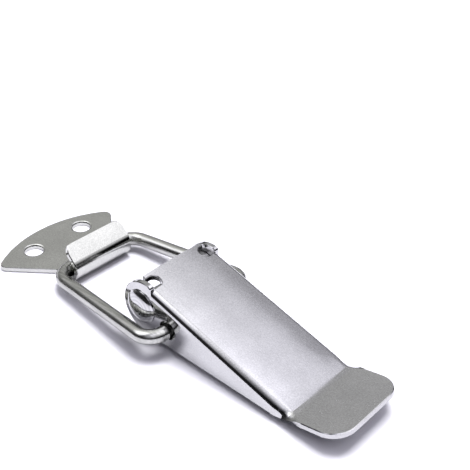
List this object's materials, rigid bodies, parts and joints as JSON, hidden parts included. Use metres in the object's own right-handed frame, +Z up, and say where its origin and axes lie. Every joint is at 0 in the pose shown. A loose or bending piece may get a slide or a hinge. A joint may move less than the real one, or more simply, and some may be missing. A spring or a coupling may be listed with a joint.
{
  "type": "over centre toggle latch",
  "caption": "Folded stainless toggle latch: a duckbill lever pivots on a base and pulls a wire bail held in a hooked catch plate with screw holes.",
  "frame": {"origin": "on the mounting surface, midway across the latch and straight below the lever's pivot", "axes": "+X along the latch from the catch plate to the lever's tail, +Y across it, +Z up from the mounting surface"},
  "size_m": [0.097, 0.033, 0.0141],
  "materials": {
    "catch_sheet": "satin stainless sheet with polished bend",
    "bail_wire": "polished stainless wire",
    "lever_sheet": "satin stainless sheet",
    "base_sheet": "satin stainless sheet",
    "rivet_steel": "polished stainless"
  },
  "bodies": {
    "fixed": {"base_plate": "base_sheet", "pivot_rivet": "rivet_steel", "catch_plate": "catch_sheet"},
    "lever": {"lever": "lever_sheet"},
    "bail": {"bail": "bail_wire"}
  },
  "joints": [
    {"name": "lever_lift", "type": "hinge", "parent": "fixed", "child": "lever", "pos_m": [0, 0, 0.008], "axis": [0, -1, 0], "range_deg": [0, 100]},
    {"name": "bail_swing", "type": "hinge", "parent": "lever", "child": "bail", "pos_m": [0.0072, 0, 0.00555], "axis": [0, -1, 0], "range_deg": [-84, 0]}
  ],
  "couplings": [
    {"joint": "bail_swing", "follows": "lever_lift", "ratio": -0.83}
  ]
}
